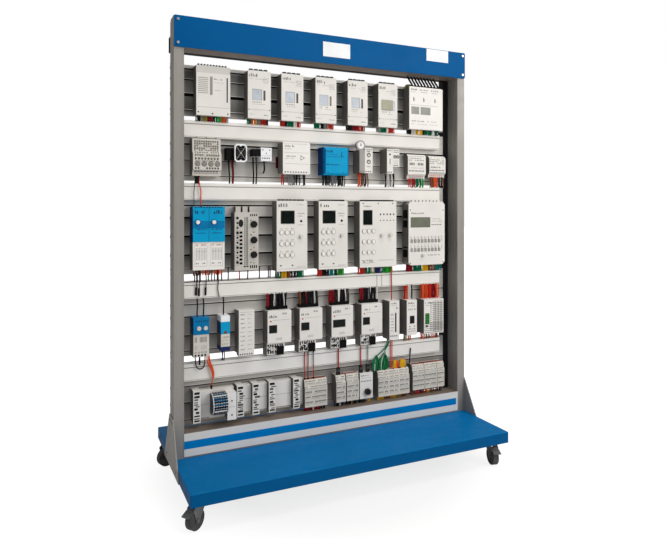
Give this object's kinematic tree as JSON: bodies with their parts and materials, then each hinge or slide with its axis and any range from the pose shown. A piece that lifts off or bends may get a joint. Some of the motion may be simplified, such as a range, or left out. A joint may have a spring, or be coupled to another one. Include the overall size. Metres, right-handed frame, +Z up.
{
  "type": "wiring installation trainer",
  "caption": "Mobile training rack on casters with rows of wired panel modules, controllers, meters and drives between wire ducts, under a plain header panel.",
  "frame": {"origin": "on the floor under the middle of the base platform", "axes": "+X to the right seen from the front, +Y to the back, +Z up"},
  "size_m": [1.4324, 0.7297, 1.898],
  "materials": {
    "post_grey": "satin",
    "beam_grey": "satin",
    "frame_blue": "satin",
    "sill_white": "satin",
    "steel": "satin",
    "panel_grey": "satin",
    "duct_white": "matte",
    "raceway_black": "matte",
    "module_grey": "matte",
    "module_blue": "matte",
    "module_white": "matte",
    "module_black": "matte",
    "display": "gloss",
    "wire": "matte",
    "lead_orange": "matte",
    "lead_red": "matte",
    "caster_fork": "satin",
    "caster_wheel": "matte",
    "pedal": "satin",
    "knob": "satin"
  },
  "bodies": {
    "rack": {"left_post": "post_grey", "right_post": "post_grey", "top_beam": "beam_grey", "bottom_beam": "beam_grey", "header_panel": "frame_blue", "sill_panel": "sill_white", "gussets": "frame_blue", "frame_bolts": "steel", "base_platform": "frame_blue", "base_rails": "beam_grey", "slat_panels": "panel_grey", "wire_ducts": "duct_white", "duct_covers": "duct_white", "cable_raceway": "raceway_black", "caster_plates": "steel", "row1_controller": "module_grey", "row1_meters": "module_white", "row1_analyser": "module_white", "row2_relays": "module_grey", "row2_fan": "module_black", "row2_socket": "module_white", "row2_white_supply": "module_white", "row2_blue_supply": "module_blue", "row2_timers": "module_grey", "row2_terminal_modules": "module_grey", "row3_surge_block": "module_blue", "row3_amplifier": "module_white", "row3_keypad_controllers": "module_grey", "row3_two_knob_controller": "module_grey", "row3_wide_controller": "module_grey", "row4_surge_modules": "module_blue", "row4_drives": "module_grey", "row4_slim_modules": "module_grey", "row5_io_modules": "module_grey", "row5_plug": "module_blue", "row5_terminal_blocks": "module_grey", "row5_dimmer": "module_grey", "display_windows": "display", "wire_looms": "wire", "hanging_leads": "lead_orange", "plug_leads": "lead_red"},
    "front_left_swivel_body": {"front_left_fork": "caster_fork"},
    "front_left_wheel_body": {"front_left_wheel": "caster_wheel"},
    "front_left_pedal_body": {"front_left_pedal": "pedal"},
    "front_right_swivel_body": {"front_right_fork": "caster_fork"},
    "front_right_wheel_body": {"front_right_wheel": "caster_wheel"},
    "front_right_pedal_body": {"front_right_pedal": "pedal"},
    "rear_left_swivel_body": {"rear_left_fork": "caster_fork"},
    "rear_left_wheel_body": {"rear_left_wheel": "caster_wheel"},
    "rear_right_swivel_body": {"rear_right_fork": "caster_fork"},
    "rear_right_wheel_body": {"rear_right_wheel": "caster_wheel"},
    "left_keypad_knob_body": {"left_keypad_knob": "knob"},
    "right_keypad_knob_body": {"right_keypad_knob": "knob"},
    "left_selector_knob_body": {"left_selector_knob": "knob"},
    "right_selector_knob_body": {"right_selector_knob": "knob"},
    "wide_controller_knob_body": {"wide_controller_knob": "knob"},
    "upper_amplifier_knob_body": {"upper_amplifier_knob": "knob"},
    "middle_amplifier_knob_body": {"middle_amplifier_knob": "knob"},
    "lower_amplifier_knob_body": {"lower_amplifier_knob": "knob"},
    "dimmer_knob_body": {"dimmer_knob": "knob"}
  },
  "joints": [
    {"name": "front_left_swivel", "type": "hinge", "parent": "rack", "child": "front_left_swivel_body", "pos_m": [-0.65, -0.29, 0.095], "axis": [0, 0, 1], "continuous": true},
    {"name": "front_left_wheel_spin", "type": "hinge", "parent": "front_left_swivel_body", "child": "front_left_wheel_body", "pos_m": [-0.67412, -0.30784, 0.0375], "axis": [0.5948, -0.8039, 0], "continuous": true},
    {"name": "front_left_brake", "type": "hinge", "parent": "front_left_swivel_body", "child": "front_left_pedal_body", "pos_m": [-0.68698, -0.31736, 0.078], "axis": [0.5948, -0.8039, 0], "range_deg": [0, 16]},
    {"name": "front_right_swivel", "type": "hinge", "parent": "rack", "child": "front_right_swivel_body", "pos_m": [0.65, -0.29, 0.095], "axis": [0, 0, 1], "continuous": true},
    {"name": "front_right_wheel_spin", "type": "hinge", "parent": "front_right_swivel_body", "child": "front_right_wheel_body", "pos_m": [0.64284, -0.31913, 0.0375], "axis": [0.9711, -0.2385, 0], "continuous": true},
    {"name": "front_right_brake", "type": "hinge", "parent": "front_right_swivel_body", "child": "front_right_pedal_body", "pos_m": [0.63903, -0.33467, 0.078], "axis": [0.9711, -0.2385, 0], "range_deg": [0, 16]},
    {"name": "rear_left_swivel", "type": "hinge", "parent": "rack", "child": "rear_left_swivel_body", "pos_m": [-0.65, 0.29, 0.095], "axis": [0, 0, 1], "continuous": true},
    {"name": "rear_left_wheel_spin", "type": "hinge", "parent": "rear_left_swivel_body", "child": "rear_left_wheel_body", "pos_m": [-0.67819, 0.27974, 0.0375], "axis": [0.342, -0.9397, 0], "continuous": true},
    {"name": "rear_right_swivel", "type": "hinge", "parent": "rack", "child": "rear_right_swivel_body", "pos_m": [0.65, 0.29, 0.095], "axis": [0, 0, 1], "continuous": true},
    {"name": "rear_right_wheel_spin", "type": "hinge", "parent": "rear_right_swivel_body", "child": "rear_right_wheel_body", "pos_m": [0.62543, 0.27279, 0.0375], "axis": [0.5736, -0.8192, 0], "continuous": true},
    {"name": "left_keypad_knob_turn", "type": "hinge", "parent": "rack", "child": "left_keypad_knob_body", "pos_m": [-0.154, -0.018, 1.016], "axis": [0, -1, 0], "range_deg": [-150, 150]},
    {"name": "right_keypad_knob_turn", "type": "hinge", "parent": "rack", "child": "right_keypad_knob_body", "pos_m": [0.042, -0.018, 1.016], "axis": [0, -1, 0], "range_deg": [-150, 150]},
    {"name": "left_selector_knob_turn", "type": "hinge", "parent": "rack", "child": "left_selector_knob_body", "pos_m": [0.248, -0.018, 1.013], "axis": [0, -1, 0], "range_deg": [-150, 150]},
    {"name": "right_selector_knob_turn", "type": "hinge", "parent": "rack", "child": "right_selector_knob_body", "pos_m": [0.293, -0.018, 1.013], "axis": [0, -1, 0], "range_deg": [-150, 150]},
    {"name": "wide_controller_knob_turn", "type": "hinge", "parent": "rack", "child": "wide_controller_knob_body", "pos_m": [0.473, -0.018, 0.913], "axis": [0, -1, 0], "range_deg": [-150, 150]},
    {"name": "upper_amplifier_knob_turn", "type": "hinge", "parent": "rack", "child": "upper_amplifier_knob_body", "pos_m": [-0.366, -0.018, 1.0705], "axis": [0, -1, 0], "range_deg": [-150, 150]},
    {"name": "middle_amplifier_knob_turn", "type": "hinge", "parent": "rack", "child": "middle_amplifier_knob_body", "pos_m": [-0.366, -0.018, 1.0045], "axis": [0, -1, 0], "range_deg": [-150, 150]},
    {"name": "lower_amplifier_knob_turn", "type": "hinge", "parent": "rack", "child": "lower_amplifier_knob_body", "pos_m": [-0.366, -0.018, 0.943], "axis": [0, -1, 0], "range_deg": [-150, 150]},
    {"name": "dimmer_knob_turn", "type": "hinge", "parent": "rack", "child": "dimmer_knob_body", "pos_m": [0.1755, -0.012, 0.298], "axis": [0, -1, 0], "range_deg": [-150, 150]}
  ]
}
